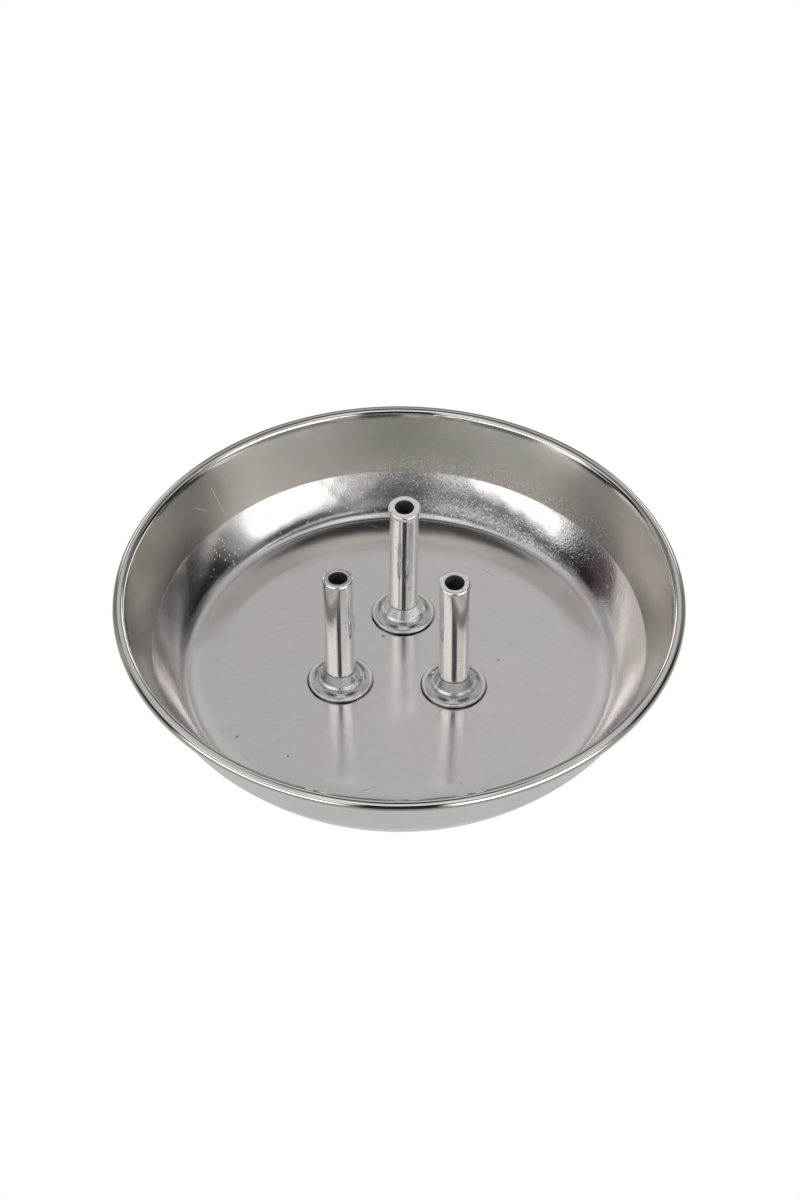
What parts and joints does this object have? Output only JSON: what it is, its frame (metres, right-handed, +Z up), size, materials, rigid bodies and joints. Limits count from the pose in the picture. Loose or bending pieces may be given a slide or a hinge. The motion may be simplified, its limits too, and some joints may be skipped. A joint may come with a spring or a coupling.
{
  "type": "stick holder dish",
  "caption": "Shallow round pressed-metal dish with a rolled rim; hollow upright posts on thin washers stand on its floor and hold thin sticks.",
  "frame": {"origin": "centre of the flat ring the dish stands on, on the table plane", "axes": "+Z up along the posts; +Y towards the back post (3.5 degrees off), +X to the right"},
  "size_m": [0.1, 0.1, 0.0268],
  "materials": {
    "pan_steel": "satin pressed sheet, bright on the drawn bends and rim",
    "post_aluminium": "bright drawn tube",
    "washer_metal": "bright, lightly marked"
  },
  "bodies": {
    "root": {"dish_pan": "pan_steel", "back_post": "post_aluminium", "left_post": "post_aluminium", "right_post": "post_aluminium", "back_washer": "washer_metal", "left_washer": "washer_metal", "right_washer": "washer_metal"}
  },
  "joints": []
}
